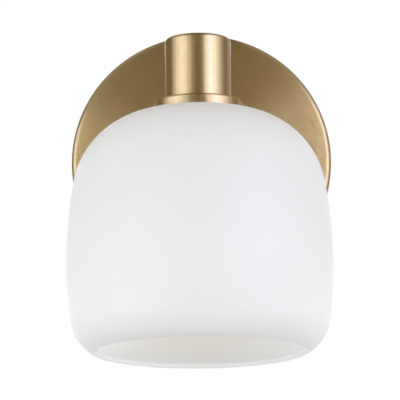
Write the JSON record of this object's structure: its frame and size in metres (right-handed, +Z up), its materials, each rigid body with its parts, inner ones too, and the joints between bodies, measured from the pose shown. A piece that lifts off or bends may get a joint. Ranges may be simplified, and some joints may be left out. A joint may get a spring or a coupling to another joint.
{
  "type": "vanity light",
  "caption": "Wall-mounted vanity light with a round brass plate, a short arm, an upright socket cup and a barrel-shaped opal glass shade that hangs open end down.",
  "frame": {"origin": "centre of the round wall plate on the wall plane, which is also the centre of the two outlet-box screw slots", "axes": "+X to the right of someone facing the light, +Y into the wall, +Z up; the shade hangs towards -Z and the light reaches out towards -Y"},
  "size_m": [0.1524, 0.1823, 0.2031],
  "materials": {
    "brushed_brass": "fine brushed satin, clear lacquer",
    "opal_glass": "satin-etched white opal, translucent but not see-through",
    "zinc_steel": "bright zinc plate",
    "green_screw": "green dyed zinc",
    "porcelain": "white glaze",
    "nickel_shell": "nickel-plated brass",
    "contact_brass": "bare spring brass",
    "silicone": "soft translucent white",
    "black_insulation": "extruded",
    "white_insulation": "extruded",
    "bare_copper": "bare drawn copper",
    "connector_plastic": "moulded"
  },
  "bodies": {
    "fixture": {"mounting_strap": "zinc_steel", "mounting_studs": "zinc_steel", "stud_lock_nuts": "zinc_steel", "ground_screw": "green_screw", "wall_plate": "brushed_brass", "cap_nuts": "brushed_brass", "arm_tube": "brushed_brass", "threaded_pipe": "zinc_steel", "pipe_lock_washers": "zinc_steel", "pipe_nuts": "zinc_steel", "saddle_washer": "zinc_steel", "socket_cup": "brushed_brass", "socket_bracket": "zinc_steel", "bracket_screws": "zinc_steel", "shade_collar": "brushed_brass", "socket_body": "porcelain", "screw_shell": "nickel_shell", "centre_contact": "contact_brass", "line_lead": "black_insulation", "neutral_lead": "white_insulation", "ground_lead": "bare_copper", "wire_connectors": "connector_plastic"},
    "shade": {"upper_gasket": "silicone", "glass_shade": "opal_glass", "lower_gasket": "silicone"},
    "clamp_ring": {"shade_ring": "brushed_brass"}
  },
  "joints": [
    {"name": "shade_drop", "type": "slide", "parent": "fixture", "child": "shade", "axis": [0, 0, -1], "range_m": [0, 0.027]},
    {"name": "ring_turn", "type": "hinge", "parent": "shade", "child": "clamp_ring", "pos_m": [0, -0.108, 0.0016], "axis": [0, 0, -1], "range_deg": [0, 3240]}
  ],
  "couplings": [
    {"joint": "ring_turn", "follows": "shade_drop", "rad_per_m": 2094.4}
  ]
}
